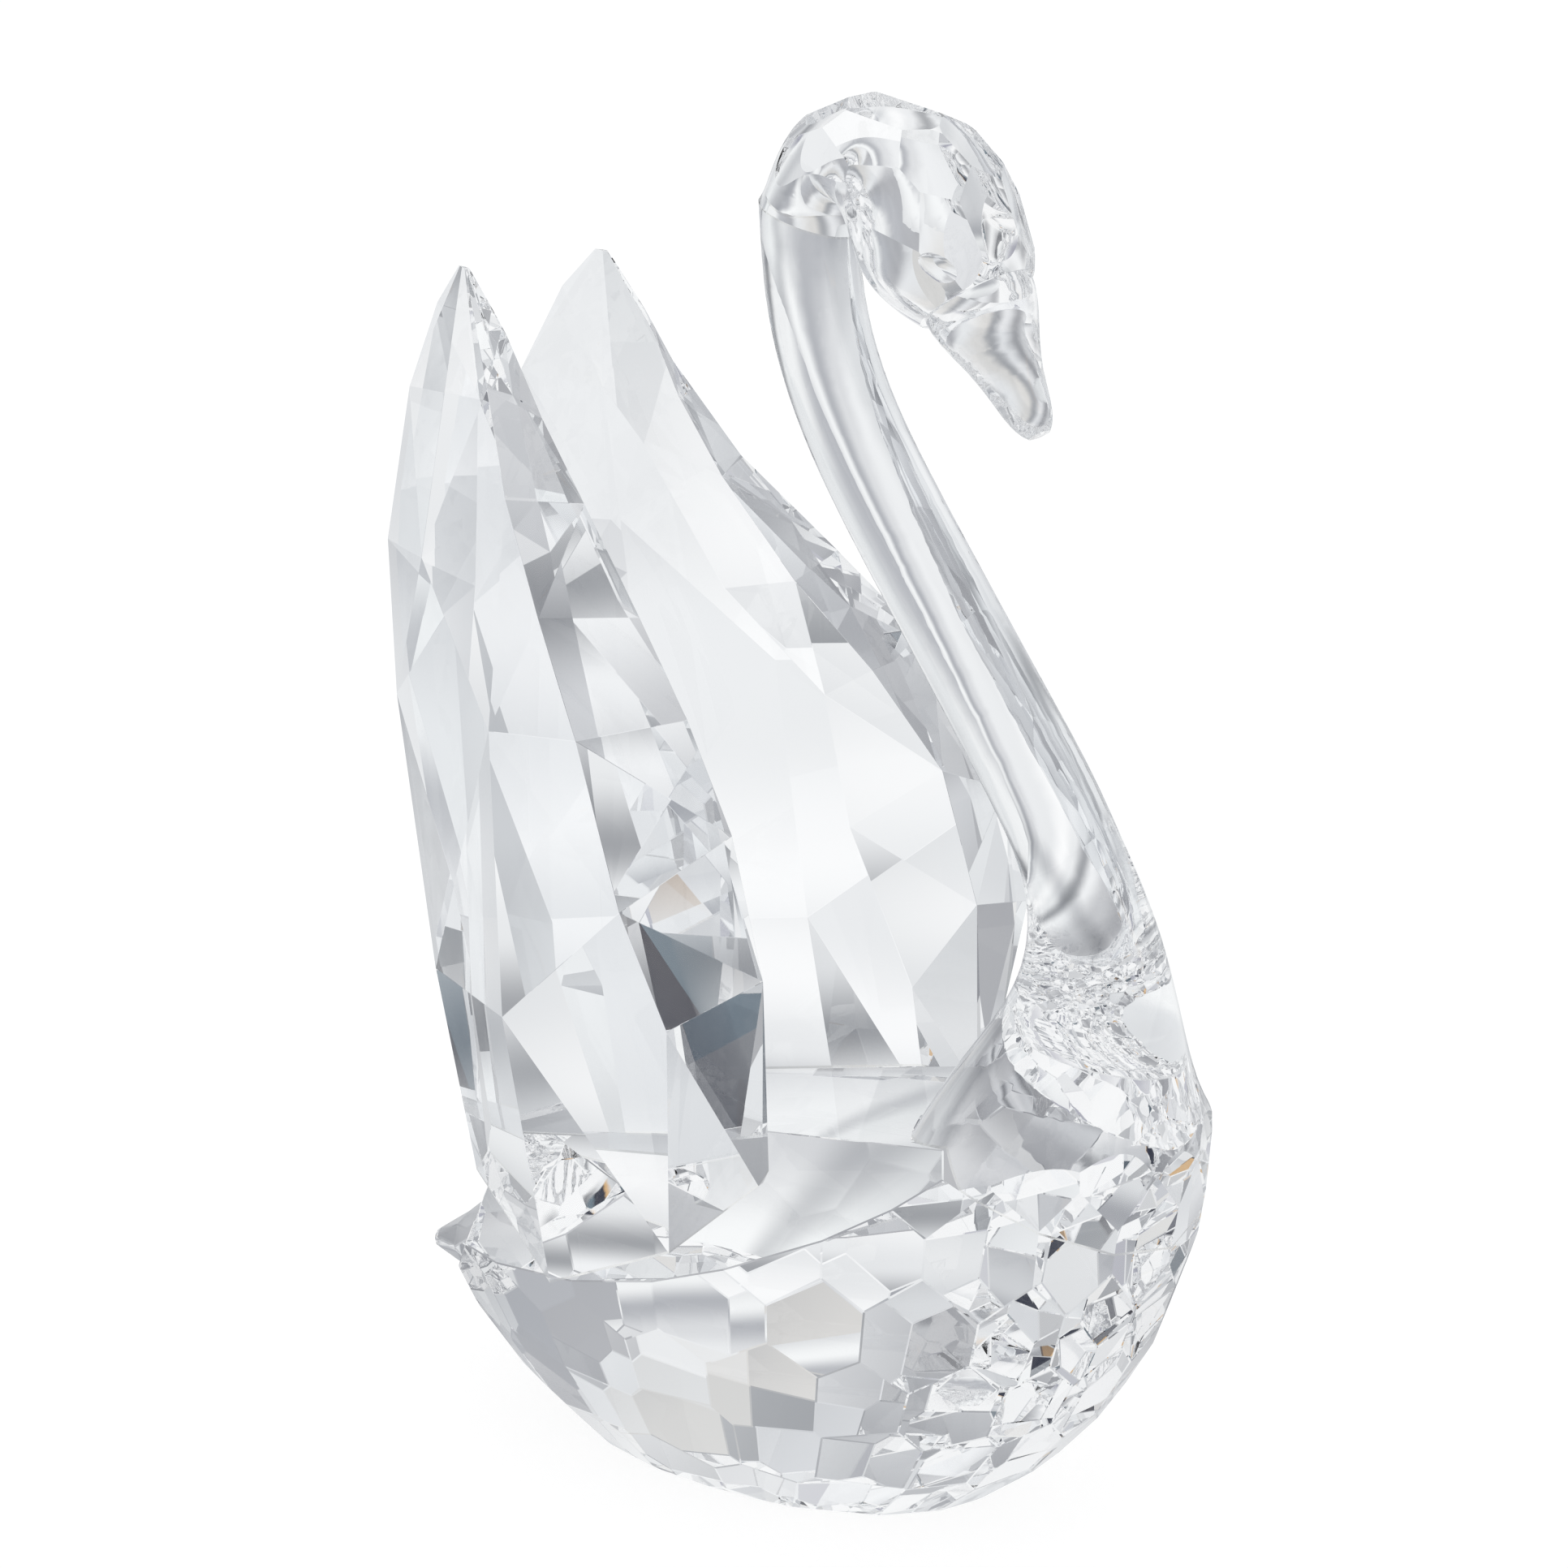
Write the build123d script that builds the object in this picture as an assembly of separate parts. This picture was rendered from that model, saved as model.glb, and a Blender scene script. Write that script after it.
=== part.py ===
from build123d import *
import os
from math import atan2, cos, degrees, hypot, pi, radians, sin

# Crystal swan figurine, bonded from cut and polished glass pieces. Millimetres.
# +X is forward (the beak), +Y is the swan's left, +Z is up.
# The origin is the centre of the flat rest face under the body.

# Body: a faceted ellipsoid with a flat base and ground seats on its top.
bodyCentre = Vector(-2.0, 0, 16.6)
bodyRadii = (19.4, 11.5, 19.4)
# Rings of facets as (latitude in degrees, count), each ring turned half a facet from the last.
facetRings = ((-64, 14), (-53, 18), (-42, 22), (-31, 24), (-20, 24), (-9, 24), (2, 24), (13, 24), (24, 24))
# Hand grinding: the facets of a ring go in turn this much deeper than its shallowest.
facetDepths = (0.0, 0.04, 0.015, 0.05)

# The block that the body is ground from, in body radii.
blankSize = 2.6

# Seats are planes Z = height + slopeForward * X + slopeOutward * |Y|.
wingSeatHeight = 19.4
wingSeatForward = 0.302
wingSeatOutward = -0.795
saddleHeight = 15.4
saddleForward = 0.182
neckSeatHeight = 25.9
neckSeatForward = -0.754
bondThickness = 0.08

# Wing ridges, from the tip down, on the left side (+Y). Each ends below the seat.
wingTip = (-15.2, 4.2, 48.95)
trailingEdge = [
    (-17.1, 3.8, 47.0),
    (-19.2, 3.4, 43.3),
    (-20.3, 3.8, 36.8),
    (-19.5, 4.3, 30.3),
    (-16.6, 5.3, 19.0),
    (-12.4, 5.9, 5.0),
]
outerRidge = [
    (-15.4, 6.8, 37.0),
    (-8.8, 10.0, 31.3),
    (-7.5, 10.9, 20.0),
    (-4.6, 10.7, 6.0),
]
# From here down, the outer ridge faces the flank ridge, which starts on the shoulder ridge.
outerBend = (-8.8, 10.0, 31.3)
shoulderRidge = [
    (-12.6, 5.7, 44.0),
    (-10.2, 7.3, 40.0),
    (-6.6, 9.4, 36.0),
    (-3.0, 11.3, 32.0),
    (0.1, 12.4, 26.0),
    (1.9, 11.8, 21.5),
    (2.9, 7.3, 14.0),
    (2.9, 7.1, 9.0),
]
flankRidge = [
    (0.1, 12.4, 26.0),
    (0.3, 9.9, 11.6),
    (0.3, 9.4, 5.0),
]
leadingEdge = [
    (-13.0, 4.3, 46.4),
    (-11.0, 4.2, 42.8),
    (-8.7, 4.3, 39.6),
    (-5.3, 4.9, 35.5),
    (-2.0, 5.9, 32.0),
    (1.0, 6.8, 28.0),
    (2.7, 7.0, 22.5),
    (2.9, 6.9, 14.6),
    (2.8, 6.8, 9.0),
]
# Flats ground across the tip, as (point (X, Z), direction (X, Z) that the flat faces).
tipFlats = (((-15.3, 48.6), (0.1, 1.0)), ((-16.1, 48.1), (-1.0, 1.0)), ((-14.45, 48.1), (1.0, 0.8)))
# The inner face is a plane |Y| = innerOffset + innerSplay * X; its corners are (X, Z).
innerOffset = 5.0
innerSplay = 0.145
innerFront = [(-14.1, 43.0), (-12.3, 41.0), (-8.2, 35.0), (-3.4, 31.0), (-2.2, 25.5), (0.8, 19.0), (2.2, 9.0)]
innerRear = [(-14.1, 43.0), (-13.0, 35.2), (-12.2, 20.0), (-10.5, 4.0)]

# Neck: a round rod along a swan's curve, flaring into a foot. Points are (X, Z, radius along, radius across).
neckCurve = [
    (-0.75, 52.0, 1.92),
    (-0.55, 49.5, 1.92),
    (0.3, 45.8, 1.92),
    (2.2, 42.1, 1.93),
    (5.5, 37.4, 1.94),
    (9.3, 32.2, 1.97),
]
footCurve = [
    (11.3, 29.3, 2.0, 2.0),
    (12.6, 26.8, 2.15, 2.15),
    (13.3, 24.2, 2.65, 2.7),
    (13.3, 21.6, 3.4, 3.6),
    (12.9, 19.2, 4.3, 5.0),
    (12.4, 16.6, 5.2, 7.4),
    (12.0, 13.0, 6.2, 10.0),
]
# Below this height the foot is ground flush with the body's facets.
flushHeight = 19.6
# The block that is taken away round the foot, below that height.
footBlockSize = 100

# Head: a hooked blank with flats ground on it, then a smooth beak.
# Each row is (upper X, upper Z, lower X, lower Z, half width); the first lies on the joint with the neck.
headOutline = [
    (-2.66, 51.95, 1.28, 50.52, 1.93),
    (-1.52, 53.72, 1.34, 51.35, 2.25),
    (0.62, 55.72, 1.78, 51.65, 2.6),
    (4.40, 55.82, 2.34, 50.75, 2.95),
    (7.60, 54.20, 2.68, 49.35, 3.1),
    (9.10, 51.85, 3.88, 48.12, 2.9),
    (9.45, 49.84, 5.42, 47.34, 2.35),
]
headSides = 9
headFacetDepth = 0.28
# Facets keep this clear of the joint with the neck.
headJointClearance = 2.4
# The way round a section is measured over this angle, in radians.
angleStep = 0.1
# Eyes: a shallow polished oval on each side, as (X, Y, Z) on the left and (length, height, depth) radii.
eyePoint = (7.7, 2.65, 49.9)
eyeRadii = (1.1, 0.5, 0.5)
eyeLean = -22
# Each section is (X, Z, direction of the axis in degrees, half height, half width).
beakSections = [
    (7.1, 49.2, -58, 2.15, 1.9),
    (7.75, 48.2, -58, 2.2, 2.0),
    (8.6, 46.7, -58, 1.55, 1.6),
    (9.45, 45.2, -58, 1.0, 1.25),
    (10.05, 44.25, -58, 0.75, 0.95),
    (10.4, 43.7, -58, 0.4, 0.5),
]

# Tail: a small faceted spur on a flat ground behind the body.
tailSeatPoint = (-16.2, 5.3)
tailSeatLean = 4
tailSections = [(-1.5, 2.9, 3.0), (0.6, 2.8, 2.9), (3.6, 1.3, 1.35), (5.7, 0.45, 0.5)]
tailDroop = -12
tailSides = 8
# Two facets narrow the body behind the wings; their point is (X, Y, Z) on the left side.
rumpPoint = (-13.6, 6.0, 9.2)
rumpAzimuth = 145
rumpElevation = 20


def onPlane(height, forward, outward):
    """Plane Z = height + forward X + outward Y, with its normal upward."""
    normal = Vector(-forward, -outward, 1).normalized()
    return Plane(origin=(0, 0, height), z_dir=normal)


def keepBelow(shape, plane):
    return split(shape, bisect_by=plane, keep=Keep.BOTTOM)


def keepAbove(shape, plane):
    return split(shape, bisect_by=plane, keep=Keep.TOP)


def raised(plane, distance):
    return Plane(origin=plane.origin + plane.z_dir * distance, z_dir=plane.z_dir)


def triangle(a, b, c):
    return Face(Wire.make_polygon([a, b, c], close=True))


def strip(first, second):
    """Triangles between two ridges, always across the shorter diagonal."""
    faces = []
    i = 0
    j = 0
    while i < len(first) - 1 or j < len(second) - 1:
        stepFirst = j == len(second) - 1
        if i < len(first) - 1 and j < len(second) - 1:
            across = (Vector(*first[i + 1]) - Vector(*second[j])).length
            other = (Vector(*second[j + 1]) - Vector(*first[i])).length
            stepFirst = across < other
        corners = [first[i], second[j]]
        if stepFirst:
            i += 1
            corners.append(first[i])
        else:
            j += 1
            corners.append(second[j])
        if len({tuple(point) for point in corners}) == 3:
            faces.append(triangle(*corners))
    return faces


def closedSolid(faces):
    return Solid(Shell(faces))


def innerPoint(x, z):
    return (x, innerOffset + innerSplay * x, z)


def wingBlank():
    """The left wing down to below its seat, as flat facets between its ridges."""
    trailing = [wingTip] + trailingEdge
    outer = [wingTip] + outerRidge
    shoulder = [wingTip] + shoulderRidge
    leading = [wingTip] + leadingEdge
    front = [innerPoint(x, z) for x, z in innerFront]
    rear = [innerPoint(x, z) for x, z in innerRear]
    parting = shoulder.index(flankRidge[0])
    bend = outer.index(outerBend)
    faces = strip(trailing, outer)
    faces += strip(outer[: bend + 1], shoulder[: parting + 1])
    faces += strip(outer[bend:], flankRidge)
    faces += strip(flankRidge, shoulder[parting:])
    faces += strip(shoulder, leading)
    faces += strip(leading, front)
    faces += strip(trailing, rear)
    faces.append(Face(Wire.make_polygon(rear + front[:0:-1], close=True)))
    ends = [rail[-1] for rail in (trailing, outer, flankRidge, shoulder, leading, front, rear)]
    middle = tuple(sum(point[axis] for point in ends) / len(ends) for axis in range(3))
    for here, there in zip(ends, ends[1:] + ends[:1]):
        faces.append(triangle(here, there, middle))
    wing = closedSolid(faces)
    for (x, z), (forward, upward) in tipFlats:
        wing = keepBelow(wing, Plane(origin=(x, 0, z), z_dir=(forward, 0, upward)))
    return wing


def facetedBall():
    """A block ground flat along rings of facets that lie round the ellipsoid at even spacing."""
    blank = Pos(*bodyCentre) * Box(*(blankSize * radius for radius in bodyRadii))
    for row, (latitude, count) in enumerate(facetRings):
        rise = radians(latitude)
        for index in range(count):
            step = index + 0.5 * (row % 2)
            azimuth = 2 * pi * step / count
            unit = (cos(rise) * cos(azimuth), cos(rise) * sin(azimuth), sin(rise))
            touch = Vector(*(radius * part for radius, part in zip(bodyRadii, unit)))
            normal = Vector(*(part / radius for radius, part in zip(bodyRadii, unit))).normalized()
            depth = facetDepths[(int(min(step, count - step)) + row) % len(facetDepths)]
            blank = keepBelow(blank, Plane(origin=bodyCentre + touch - normal * depth, z_dir=normal))
    rise = radians(rumpElevation)
    turn = radians(rumpAzimuth)
    for side in (1, -1):
        normal = Vector(cos(rise) * cos(turn), side * cos(rise) * sin(turn), sin(rise))
        x, y, z = rumpPoint
        blank = keepBelow(blank, Plane(origin=(x, side * y, z), z_dir=normal))
    return keepAbove(blank, Plane.XY)


def bodySeats():
    lean = radians(tailSeatLean)
    tailNormal = Vector(-cos(lean), 0, sin(lean))
    return {
        "tail": Plane(origin=(tailSeatPoint[0], 0, tailSeatPoint[1]), z_dir=tailNormal),
        "wing_left": onPlane(wingSeatHeight, wingSeatForward, wingSeatOutward),
        "wing_right": onPlane(wingSeatHeight, wingSeatForward, -wingSeatOutward),
        "saddle": onPlane(saddleHeight, saddleForward, 0),
        "neck": onPlane(neckSeatHeight, neckSeatForward, 0),
    }


def neckBlank():
    """The rod and its flared foot, down to below the neck seat."""
    points = [(x, z, along, along) for x, z, along in neckCurve] + footCurve
    sections = []
    for index, (x, z, along, across) in enumerate(points):
        before = points[max(index - 1, 0)]
        after = points[min(index + 1, len(points) - 1)]
        direction = degrees(atan2(after[1] - before[1], after[0] - before[0]))
        sections.append((x, z, direction, along, across))
    return smoothRod(sections)


def sectionBetween(upperX, upperZ, lowerX, lowerZ, halfWidth):
    """A section between a point on the upper outline and one on the lower."""
    direction = degrees(atan2(lowerX - upperX, upperZ - lowerZ))
    halfHeight = hypot(upperX - lowerX, upperZ - lowerZ) / 2
    return ((upperX + lowerX) / 2, (upperZ + lowerZ) / 2, direction, halfHeight, halfWidth)


def ringPoint(section, angle):
    """A point on the outline of a section, at an angle round it from its upper side."""
    x, z, direction, halfHeight, halfWidth = section
    turn = radians(direction)
    upward = Vector(-sin(turn), 0, cos(turn))
    return Vector(x, 0, z) + upward * (halfHeight * cos(angle)) + Vector(0, halfWidth * sin(angle), 0)


def smoothRod(sections):
    """A smooth solid through elliptical sections."""
    outlines = []
    for x, z, direction, halfHeight, halfWidth in sections:
        turn = radians(direction)
        axis = Vector(cos(turn), 0, sin(turn))
        plane = Plane(origin=(x, 0, z), x_dir=Vector(-axis.Z, 0, axis.X), z_dir=axis)
        outlines.append(plane * Ellipse(halfHeight, halfWidth))
    return loft(outlines)


def staggeredRod(sections, sides):
    """A rod of triangular facets between polygon sections, each turned half a side from the last."""
    rings = []
    for index, section in enumerate(sections):
        turns = [side + 0.5 * (index % 2) for side in range(sides)]
        rings.append([tuple(ringPoint(section, 2 * pi * turn / sides)) for turn in turns])
    faces = []
    for index in range(len(rings) - 1):
        ring = rings[index]
        following = rings[index + 1]
        for side in range(sides):
            after = (side + 1) % sides
            apex = following[side] if index % 2 == 0 else following[after]
            base = ring[after] if index % 2 == 0 else ring[side]
            faces.append(triangle(ring[side], ring[after], apex))
            faces.append(triangle(base, following[side], following[after]))
    faces.append(Face(Wire.make_polygon(rings[0], close=True)))
    faces.append(Face(Wire.make_polygon(rings[-1], close=True)))
    return closedSolid(faces)


def facetedHead():
    """A smooth hooked blank with rings of flats ground on it and an eye cut into each side."""
    sections = [sectionBetween(*row) for row in headOutline]
    head = smoothRod(sections)
    joint = Vector(sections[0][0], 0, sections[0][1])
    for index in range(1, len(sections) - 1):
        for side in range(headSides):
            angle = 2 * pi * (side + 0.5 * (index % 2)) / headSides
            touch = ringPoint(sections[index], angle)
            along = ringPoint(sections[index + 1], angle) - ringPoint(sections[index - 1], angle)
            ahead = ringPoint(sections[index], angle + angleStep)
            behind = ringPoint(sections[index], angle - angleStep)
            normal = along.cross(ahead - behind).normalized()
            if (joint - touch).dot(normal) < -headJointClearance:
                head = keepBelow(head, Plane(origin=touch - normal * headFacetDepth, z_dir=normal))
    x, y, z = eyePoint
    length, height, depth = eyeRadii
    eye = scale(Sphere(1), by=(length, depth, height))
    for side in (1, -1):
        head -= Pos(x, side * y, z) * Rot(0, -eyeLean, 0) * eye
    return head


def tailBlank():
    turn = radians(180 - tailDroop)
    sections = []
    for reach, halfHeight, halfWidth in tailSections:
        x = tailSeatPoint[0] + reach * cos(turn)
        z = tailSeatPoint[1] + reach * sin(turn)
        sections.append((x, z, 180 - tailDroop, halfHeight, halfWidth))
    return staggeredRod(sections, tailSides)


def between(shape, seat):
    """The bond line: what lies within one bond thickness above a seat."""
    return keepBelow(keepAbove(shape, seat), raised(seat, bondThickness))


def save(shape, name):
    shape.label = name
    export_step(shape, f"parts/{name}.step")


def groundBody(ball, seats, lift):
    body = ball
    for seat in seats.values():
        body = keepBelow(body, raised(seat, lift))
    return body


os.makedirs("parts", exist_ok=True)
ball = facetedBall()
seats = bodySeats()
body = groundBody(ball, seats, 0)
save(body, "body")

wing = wingBlank()
leftWing = keepAbove(wing, raised(seats["wing_left"], bondThickness))
leftWingBond = between(wing, seats["wing_left"])
save(leftWing, "wing_left")
save(leftWingBond, "bond_wing_left")
save(mirror(leftWing, about=Plane.XZ), "wing_right")
save(mirror(leftWingBond, about=Plane.XZ), "bond_wing_right")

belowFlush = Pos(0, 0, flushHeight - footBlockSize / 2) * Box(footBlockSize, footBlockSize, footBlockSize)
footWaste = belowFlush - ball
footBlank = neckBlank() - footWaste
bodyAndBond = groundBody(ball, seats, bondThickness)
headX, headZ, headDirection = sectionBetween(*headOutline[0])[:3]
headNormal = Vector(cos(radians(headDirection)), 0, sin(radians(headDirection)))
neckTop = raised(Plane(origin=(headX, 0, headZ), z_dir=headNormal), -bondThickness)
neck = keepBelow(footBlank - bodyAndBond, neckTop)
neckBond = (footBlank & bodyAndBond) - body
save(neck, "neck")
save(neckBond, "bond_neck")

head = facetedHead() + smoothRod(beakSections)
save(head, "head")
save(between(footBlank, neckTop), "bond_head")

tailRod = tailBlank()
save(keepAbove(tailRod, raised(seats["tail"], bondThickness)), "tail")
save(between(tailRod, seats["tail"]), "bond_tail")
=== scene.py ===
from math import cos, pi, radians, sin

import bmesh
import bpy
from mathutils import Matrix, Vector
from mathutils.bvhtree import BVHTree


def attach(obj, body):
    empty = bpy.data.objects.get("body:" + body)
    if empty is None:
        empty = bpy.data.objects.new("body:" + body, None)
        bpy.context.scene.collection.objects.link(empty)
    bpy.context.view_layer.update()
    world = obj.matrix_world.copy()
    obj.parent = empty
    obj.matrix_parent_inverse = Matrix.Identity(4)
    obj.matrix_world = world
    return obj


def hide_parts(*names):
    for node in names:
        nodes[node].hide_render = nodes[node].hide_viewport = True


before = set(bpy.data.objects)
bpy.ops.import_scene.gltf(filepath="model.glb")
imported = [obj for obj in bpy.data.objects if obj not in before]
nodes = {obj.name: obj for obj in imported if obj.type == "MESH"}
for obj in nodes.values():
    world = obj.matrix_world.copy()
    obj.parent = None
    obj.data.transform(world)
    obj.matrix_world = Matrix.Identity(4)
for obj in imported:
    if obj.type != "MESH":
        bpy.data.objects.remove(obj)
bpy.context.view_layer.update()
mm = 0.001
print("frame loaded:", len(nodes), "pieces")


# helpers for colours and nodes

def linearColour(hexText):
    # sRGB hex to the linear values that shaders use
    channels = [int(hexText[i:i + 2], 16) / 255 for i in (1, 3, 5)]
    return [c / 12.92 if c <= 0.04045 else ((c + 0.055) / 1.055) ** 2.4 for c in channels] + [1.0]


def addNode(tree, kind, settings=None, inputs=None, links=None, stops=None):
    # one node with its settings, socket values, links from other sockets, and ramp stops
    node = tree.nodes.new(kind)
    for name, value in (settings or {}).items():
        setattr(node, name, value)
    for name, value in (inputs or {}).items():
        node.inputs[name].default_value = value
    for name, socket in (links or {}).items():
        tree.links.new(socket, node.inputs[name])
    if stops:
        node.color_ramp.interpolation = "EASE"
        elements = node.color_ramp.elements
        while len(elements) < len(stops):
            elements.new(0.5)
        for element, (position, tone) in zip(elements, stops):
            element.position = position
            element.color = linearColour(tone)
    return node


def newMaterial(name):
    material = bpy.data.materials.new(name)
    material.use_nodes = True
    material.node_tree.nodes.clear()
    return material, material.node_tree


# materials

crystal = {
    "tint": "#FDFEFF",          # crystal without lead is nearly colourless
    "ior": 1.55,
    "polishRoughness": 0.0,
    "waveSize": 6.0 * mm,       # slow waves that hand polishing leaves in a facet
    "waveDepth": 0.002 * mm,
    "waveDetail": 1.0,
    "waveRoughness": 0.4,
}
adhesive = {
    "tint": "#FAFAF7",
    "ior": 1.5,
    "smoothest": 0.05,
    "roughest": 0.2,
    "grainSize": 0.5 * mm,
    "grainDetail": 2.0,
}


def cutCrystal():
    # cut and polished crystal: clear, with facets that are flat but for a slow polishing wave
    material, tree = newMaterial("cutPolishedCrystal")
    place = addNode(tree, "ShaderNodeTexCoord")
    wave = addNode(tree, "ShaderNodeTexNoise",
                   inputs={"Scale": 1 / crystal["waveSize"], "Detail": crystal["waveDetail"],
                           "Roughness": crystal["waveRoughness"]},
                   links={"Vector": place.outputs["Object"]})
    bump = addNode(tree, "ShaderNodeBump",
                   inputs={"Strength": 1.0, "Distance": crystal["waveDepth"]},
                   links={"Height": wave.outputs["Fac"]})
    surface = addNode(tree, "ShaderNodeBsdfPrincipled",
                      inputs={"Base Color": linearColour(crystal["tint"]), "Metallic": 0.0,
                              "Roughness": crystal["polishRoughness"], "IOR": crystal["ior"],
                              "Transmission Weight": 1.0},
                      links={"Normal": bump.outputs["Normal"]})
    addNode(tree, "ShaderNodeOutputMaterial", links={"Surface": surface.outputs["BSDF"]})
    return material


def bondedFace():
    # two ground faces with adhesive of the same index between them: light passes straight on
    material, tree = newMaterial("indexMatchedBond")
    surface = addNode(tree, "ShaderNodeBsdfTransparent", inputs={"Color": (1, 1, 1, 1)})
    addNode(tree, "ShaderNodeOutputMaterial", links={"Surface": surface.outputs["BSDF"]})
    return material


def curedAdhesive():
    # clear cured acrylic, seen only along the edge of each bond line
    material, tree = newMaterial("clearCuredAcrylic")
    place = addNode(tree, "ShaderNodeTexCoord")
    grain = addNode(tree, "ShaderNodeTexNoise",
                    inputs={"Scale": 1 / adhesive["grainSize"], "Detail": adhesive["grainDetail"]},
                    links={"Vector": place.outputs["Object"]})
    rough = addNode(tree, "ShaderNodeMapRange",
                    inputs={"To Min": adhesive["smoothest"], "To Max": adhesive["roughest"]},
                    links={"Value": grain.outputs["Fac"]})
    surface = addNode(tree, "ShaderNodeBsdfPrincipled",
                      inputs={"Base Color": linearColour(adhesive["tint"]), "IOR": adhesive["ior"],
                              "Transmission Weight": 1.0},
                      links={"Roughness": rough.outputs["Result"]})
    addNode(tree, "ShaderNodeOutputMaterial", links={"Surface": surface.outputs["BSDF"]})
    return material


crystalMaterial = cutCrystal()
bondMaterial = bondedFace()
adhesiveMaterial = curedAdhesive()
print("materials ready")

# crystal pieces and their bonds

finish = {
    "flatAngle": radians(0.4),      # triangles of one facet lie within this of each other
    "edgeAngle": radians(3),        # sharper edges than this are polished
    "edgeWidth": 0.05 * mm,
    "roundAngle": radians(20),      # a smooth curve breaks at a sharper edge than this
    "flatArea": 0.4 * mm * mm,      # larger faces of the head are facets
    "bondReach": 0.02 * mm,         # a face this near an adhesive layer is bonded to it
    "seatReach": 0.002 * mm,        # a layer this near a face's plane lies on it
    "facing": 0.9999,               # cosine: a seat and its layer face each other squarely
    "mergeReach": 0.001 * mm,
    "cutReach": 0.0005 * mm,
}
bondsOf = {
    "body": ["bond_wing_left", "bond_wing_right", "bond_neck", "bond_tail"],
    "wing_left": ["bond_wing_left"],
    "wing_right": ["bond_wing_right"],
    "neck": ["bond_neck", "bond_head"],
    "head": ["bond_head"],
    "tail": ["bond_tail"],
}
roundPieces = ("neck", "head")
piecesOn = {bond: [name for name, bonds in bondsOf.items() if bond in bonds]
            for bond in sorted({bond for bonds in bondsOf.values() for bond in bonds})}


def mergedCopy(name):
    bm = bmesh.new()
    bm.from_mesh(nodes[name].data)
    bmesh.ops.remove_doubles(bm, verts=bm.verts, dist=finish["mergeReach"])
    for face in bm.faces:
        face.smooth = False
    return bm


def joinFacets(bm):
    bmesh.ops.dissolve_limit(bm, angle_limit=finish["flatAngle"], verts=bm.verts, edges=bm.edges)


def nearBond(trees, point):
    return any(tree.find_nearest(point, finish["bondReach"])[0] for tree in trees)


def polishEdges(bm, trees):
    sharp = [edge for edge in bm.edges
             if edge.is_manifold and edge.calc_face_angle() > finish["edgeAngle"]
             and not any(nearBond(trees, vert.co) for vert in edge.verts)]
    bmesh.ops.bevel(bm, geom=sharp, offset=finish["edgeWidth"], offset_type="OFFSET", segments=1,
                    profile=0.5, affect="EDGES", material=-1, clamp_overlap=True)


def roundOff(bm):
    # smooth curves between the facets
    for face in bm.faces:
        face.smooth = face.calc_area() < finish["flatArea"]
    for edge in bm.edges:
        edge.smooth = edge.calc_face_angle(0) < finish["roundAngle"]


def liesOn(face, layer):
    apart = (layer.calc_center_median() - face.verts[0].co).dot(face.normal)
    return face.normal.dot(layer.normal) < -finish["facing"] and abs(apart) < finish["seatReach"]


def splitSeats(bm, bondMeshes):
    # cut each seat along the outlines of the adhesive layers that lie on it
    for bond in bondMeshes:
        for layer in bond.faces:
            seats = [face for face in bm.faces if liesOn(face, layer)]
            for edge in layer.edges if seats else []:
                across = (edge.verts[1].co - edge.verts[0].co).cross(layer.normal)
                seats = [face for face in seats if face.is_valid]
                parts = set(seats)
                for face in seats:
                    parts.update(face.edges)
                    parts.update(face.verts)
                cut = bmesh.ops.bisect_plane(bm, geom=list(parts), dist=finish["cutReach"],
                                             plane_co=edge.verts[0].co, plane_no=across)
                seats = [part for part in cut["geom"] if isinstance(part, bmesh.types.BMFace)]


def markBonded(bm, trees):
    for face in bm.faces:
        face.material_index = 1 if nearBond(trees, face.calc_center_median()) else 0


def finishPiece(bm, name, materials):
    mesh = bpy.data.meshes.new(name + "Mesh")
    bm.to_mesh(mesh)
    bm.free()
    if "custom_normal" in mesh.attributes:
        mesh.attributes.remove(mesh.attributes["custom_normal"])
    for material in materials:
        mesh.materials.append(material)
    piece = bpy.data.objects.new(name + "Cut", mesh)
    bpy.context.scene.collection.objects.link(piece)
    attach(piece, "root")
    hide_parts(name)


bondMeshes = {}
bondTrees = {}
for name in piecesOn:
    bondMeshes[name] = mergedCopy(name)
    joinFacets(bondMeshes[name])
    bondTrees[name] = BVHTree.FromBMesh(bondMeshes[name])

pieceTrees = {}
for name, bonds in bondsOf.items():
    bm = mergedCopy(name)
    pieceTrees[name] = BVHTree.FromBMesh(bm)
    trees = [bondTrees[bond] for bond in bonds]
    joinFacets(bm)
    if name in roundPieces:
        roundOff(bm)
    else:
        polishEdges(bm, trees)
    if name == "body":
        splitSeats(bm, [bondMeshes[bond] for bond in bonds])
    markBonded(bm, trees)
    finishPiece(bm, name, [crystalMaterial, bondMaterial])
    print("cut and polished", name)

for name, bm in bondMeshes.items():
    markBonded(bm, [pieceTrees[piece] for piece in piecesOn[name]])
    finishPiece(bm, name, [adhesiveMaterial, bondMaterial])

# studio: the camera sees a plain pale floor and background under soft light
# only rays through or off the crystal meet the card, which shines with painted light and shade, and the
# toned walls and dark panel below, so this isn't a plain studio: the tones are tuned for the main view and
# say nothing of the crystal itself

studio = {
    "floorColour": "#FFFFFF",
    "floorRadius": 3.0,
    "floorSides": 96,
    "floorGap": 0.05 * mm,      # no two polished faces touch all over
    "floorGlow": 0.88,          # an evenly lit floor, with a faint shadow left in it
    "floorShade": 0.20,
    "spread": 100 * mm,         # half of the card's tones lie within this radius
    # strength of the card's emitted painted light and shade
    "cardPaintedLightLevel": 1.0,
    "wallLevel": 0.96,
    "panelLean": 0.12,          # turns per unit of height
    "ceiling": "#FFFFFF",
    "bounces": 48,              # light crosses many facets on its way through
    "mirrorBounces": 32,
    "glassBounces": 32,
    "clearBounces": 64,
}
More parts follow.
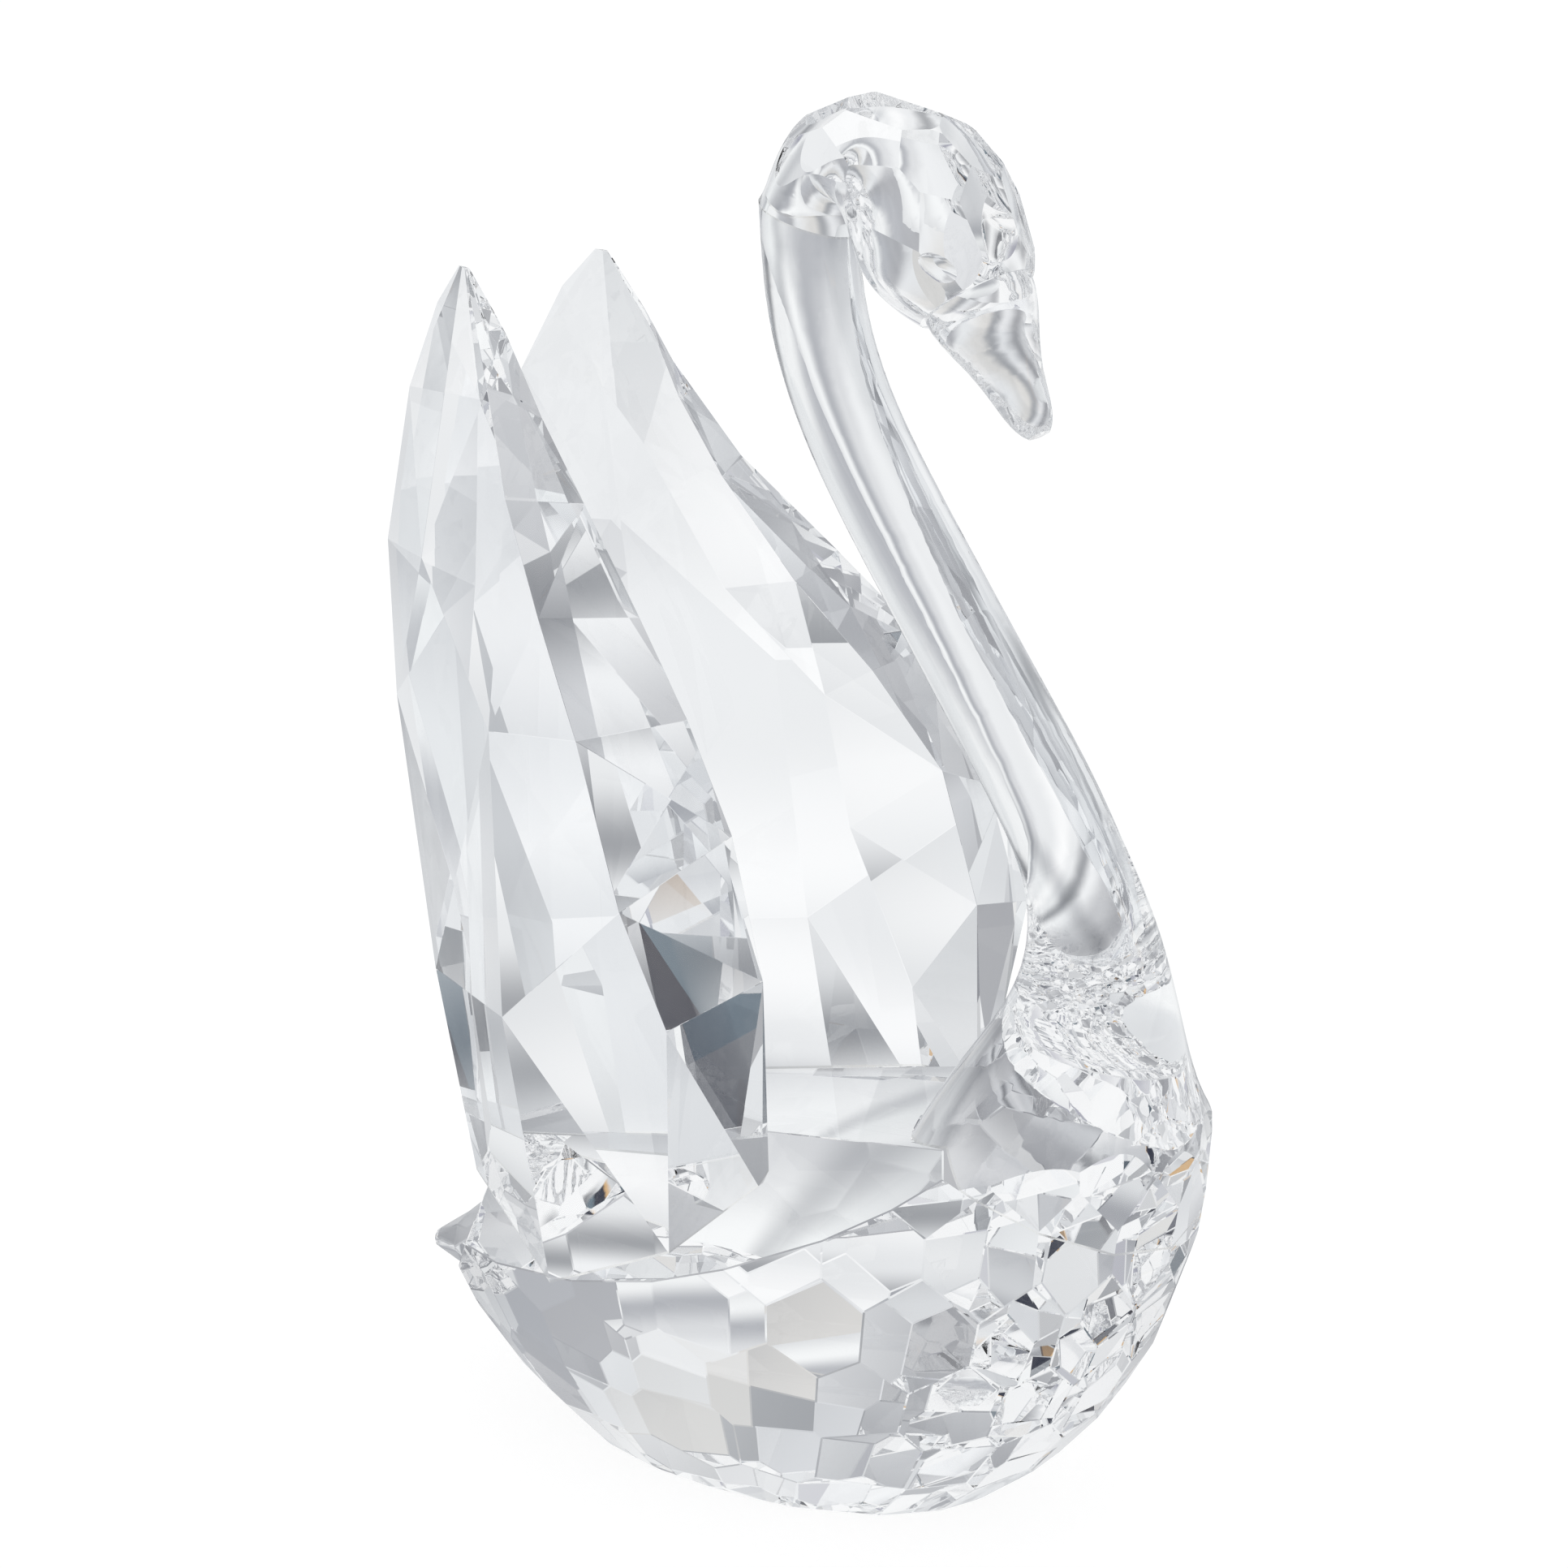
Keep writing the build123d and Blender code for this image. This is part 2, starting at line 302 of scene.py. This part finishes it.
# painted light and shade of the floor card, seen only through the crystal: rings of painted light and
# painted shadow, from under the piece (0) to far away (1)
cardPaintedLightTones = [
    (0.0, "#FAFBFB"), (0.07, "#FAFBFB"), (0.13, "#D9DADC"), (0.19, "#A4A5A9"), (0.26, "#C6C7CA"),
    (0.32, "#F4F5F6"), (0.36, "#9C9EA2"), (0.41, "#EEEFF0"), (0.47, "#FFFFFF"), (0.56, "#EEEFF0"),
    (0.66, "#F1F2F3"), (0.74, "#DFE0E2"), (0.83, "#B4B6BB"), (0.90, "#FAFBFB"), (1.0, "#D9DADC"),
]
# how the card's painted light and shade changes with bearing, in degrees from +X towards +Y
sectorPaintedLightTones = [
    (-180, "#F4F5F6"), (-150, "#CFD0D3"), (-110, "#FFFFFF"), (-40, "#FFFFFF"), (0, "#E6E7E9"),
    (30, "#E1E2E4"), (60, "#FFFFFF"), (84, "#FAFBFB"), (97, "#D4D5D7"), (108, "#FFFFFF"), (135, "#FFFFFF"),
    (150, "#E9EAEB"), (180, "#F4F5F6"),
]
# tones of the walls by bearing
wallTones = [
    (-180, "#D4D5D7"), (-160, "#73757E"), (-145, "#C9CACC"), (-120, "#EEEFF0"), (-95, "#A9A9B6"),
    (-75, "#EBECEE"), (-50, "#FFFFFF"), (-30, "#B0B1B4"), (-6, "#F4F5F6"), (20, "#D4D5D7"), (40, "#F4F5F6"),
    (70, "#797B80"), (84, "#FAFBFB"), (98, "#FAFBFB"), (108, "#BDBFC4"), (118, "#B4B5B9"), (124, "#F4F5F6"),
    (136, "#E2E0DD"), (142, "#A6A8AC"), (150, "#EBECEE"), (165, "#A4A5A9"), (180, "#D4D5D7"),
]
# one narrow dark panel with an amber edge, between two heights
panelTones = [
    (30, "#F4F5F6"), (37, "#E9BE86"), (42, "#101A34"), (53, "#16203C"), (60, "#9DB8C8"), (68, "#F4F5F6"),
]
panelRise = [(0.12, "#000000"), (0.17, "#FFFFFF"), (0.44, "#FFFFFF"), (0.52, "#000000")]
ceilingRise = [(0.0, "#000000"), (0.55, "#000000"), (0.75, "#FFFFFF"), (1.0, "#FFFFFF")]


def wholeTurn(stops):
    # stops given by bearing, as shares of a whole turn
    return [(bearing / 360 + 0.5, tone) for bearing, tone in stops]


def bearingShare(tree, split):
    # the bearing as a share of a whole turn, which grows a little with height where panels lean
    bearing = addNode(tree, "ShaderNodeMath", settings={"operation": "ARCTAN2"},
                      links={0: split.outputs["Y"], 1: split.outputs["X"]})
    turn = addNode(tree, "ShaderNodeMath", settings={"operation": "MULTIPLY_ADD"},
                   inputs={1: 1 / (2 * pi), 2: 0.5}, links={0: bearing.outputs["Value"]})
    return addNode(tree, "ShaderNodeMath", settings={"operation": "MULTIPLY_ADD"},
                   inputs={1: studio["panelLean"]},
                   links={0: split.outputs["Z"], 2: turn.outputs["Value"]})


def floorWithPaintedLightCard():
    # seen straight on it is a plain pale floor; through the crystal it shines with the card's painted light
    # and shade, though it is no lamp
    material, tree = newMaterial("paleFloorPaintedLightCard")
    place = addNode(tree, "ShaderNodeTexCoord")
    reach = addNode(tree, "ShaderNodeVectorMath", settings={"operation": "LENGTH"},
                    links={0: place.outputs["Object"]})
    beyond = addNode(tree, "ShaderNodeMath", settings={"operation": "ADD"},
                     inputs={1: studio["spread"]}, links={0: reach.outputs["Value"]})
    share = addNode(tree, "ShaderNodeMath", settings={"operation": "DIVIDE"},
                    links={0: reach.outputs["Value"], 1: beyond.outputs["Value"]})
    card = addNode(tree, "ShaderNodeValToRGB", links={"Fac": share.outputs["Value"]}, stops=cardPaintedLightTones)
    split = addNode(tree, "ShaderNodeSeparateXYZ", links={"Vector": place.outputs["Object"]})
    turn = bearingShare(tree, split)
    sector = addNode(tree, "ShaderNodeValToRGB", links={"Fac": turn.outputs["Value"]},
                     stops=wholeTurn(sectorPaintedLightTones))
    tone = addNode(tree, "ShaderNodeMix", settings={"data_type": "RGBA", "blend_type": "MULTIPLY"},
                   inputs={0: 1.0}, links={6: card.outputs["Color"], 7: sector.outputs["Color"]})
    # painted light and shade: the card is emitted for every ray but the camera's
    paintedLightGlow = addNode(tree, "ShaderNodeEmission", inputs={"Strength": studio["cardPaintedLightLevel"]},
                   links={"Color": tone.outputs[2]})
    lit = addNode(tree, "ShaderNodeEmission", inputs={"Color": linearColour(studio["floorColour"]),
                                                      "Strength": studio["floorGlow"]})
    shade = [studio["floorShade"]] * 3 + [1.0]
    matt = addNode(tree, "ShaderNodeBsdfDiffuse", inputs={"Color": shade})
    plain = addNode(tree, "ShaderNodeAddShader", links={0: lit.outputs[0], 1: matt.outputs[0]})
    ray = addNode(tree, "ShaderNodeLightPath")
    surface = addNode(tree, "ShaderNodeMixShader",
                      links={0: ray.outputs["Is Camera Ray"], 1: paintedLightGlow.outputs[0], 2: plain.outputs[0]})
    addNode(tree, "ShaderNodeOutputMaterial", links={"Surface": surface.outputs[0]})
    return material


def buildFloor():
    bm = bmesh.new()
    bmesh.ops.create_circle(bm, cap_ends=True, segments=studio["floorSides"], radius=studio["floorRadius"])
    bmesh.ops.translate(bm, verts=bm.verts, vec=(0, 0, -studio["floorGap"]))
    mesh = bpy.data.meshes.new("floorMesh")
    bm.to_mesh(mesh)
    bm.free()
    mesh.materials.append(floorWithPaintedLightCard())
    floor = bpy.data.objects.new("floor", mesh)
    bpy.context.scene.collection.objects.link(floor)


def buildWorld():
    world = bpy.data.worlds.new("softStudio")
    world.use_nodes = True
    bpy.context.scene.world = world
    tree = world.node_tree
    tree.nodes.clear()
    place = addNode(tree, "ShaderNodeTexCoord")
    split = addNode(tree, "ShaderNodeSeparateXYZ", links={"Vector": place.outputs["Generated"]})
    turn = bearingShare(tree, split)
    walls = addNode(tree, "ShaderNodeValToRGB", links={"Fac": turn.outputs["Value"]},
                    stops=wholeTurn(wallTones))
    panel = addNode(tree, "ShaderNodeValToRGB", links={"Fac": turn.outputs["Value"]},
                    stops=wholeTurn(panelTones))
    band = addNode(tree, "ShaderNodeValToRGB", links={"Fac": split.outputs["Z"]}, stops=panelRise)
    hung = addNode(tree, "ShaderNodeMix", settings={"data_type": "RGBA", "blend_type": "MULTIPLY"},
                   links={0: band.outputs["Color"], 6: walls.outputs["Color"], 7: panel.outputs["Color"]})
    rise = addNode(tree, "ShaderNodeValToRGB", links={"Fac": split.outputs["Z"]}, stops=ceilingRise)
    room = addNode(tree, "ShaderNodeMix", settings={"data_type": "RGBA"},
                   inputs={7: linearColour(studio["ceiling"])},
                   links={0: rise.outputs["Color"], 6: hung.outputs[2]})
    ray = addNode(tree, "ShaderNodeLightPath")
    seen = addNode(tree, "ShaderNodeMix", settings={"data_type": "RGBA"},
                   inputs={7: linearColour(studio["floorColour"])},
                   links={0: ray.outputs["Is Camera Ray"], 6: room.outputs[2]})
    background = addNode(tree, "ShaderNodeBackground", inputs={"Strength": studio["wallLevel"]},
                         links={"Color": seen.outputs[2]})
    addNode(tree, "ShaderNodeOutputWorld", links={"Surface": background.outputs["Background"]})


buildFloor()
buildWorld()
print("studio ready")

# camera

view = {
    "target": (-5.39, 4.28, 26.93),     # millimetres
    "azimuth": radians(39),
    "elevation": radians(14),
    "distance": 160.0,                  # millimetres
    "lens": 87.65,
    "sensor": 36.0,
    "clipStart": 0.005,
}


def buildCamera():
    camera = bpy.data.cameras.new("camera")
    camera.sensor_width = view["sensor"]
    camera.lens = view["lens"]
    camera.clip_start = view["clipStart"]
    rig = bpy.data.objects.new("camera", camera)
    turn = view["azimuth"]
    rise = view["elevation"]
    away = Vector((cos(rise) * sin(turn), -cos(rise) * cos(turn), sin(rise)))
    rig.location = Vector(view["target"]) * mm + away * view["distance"] * mm
    rig.rotation_euler = away.to_track_quat("Z", "Y").to_euler()
    bpy.context.scene.collection.objects.link(rig)
    bpy.context.scene.camera = rig


buildCamera()
scene = bpy.context.scene
scene.view_settings.view_transform = "Standard"
scene.cycles.max_bounces = studio["bounces"]
scene.cycles.glossy_bounces = studio["mirrorBounces"]
scene.cycles.transmission_bounces = studio["glassBounces"]
scene.cycles.transparent_max_bounces = studio["clearBounces"]
print("camera ready")
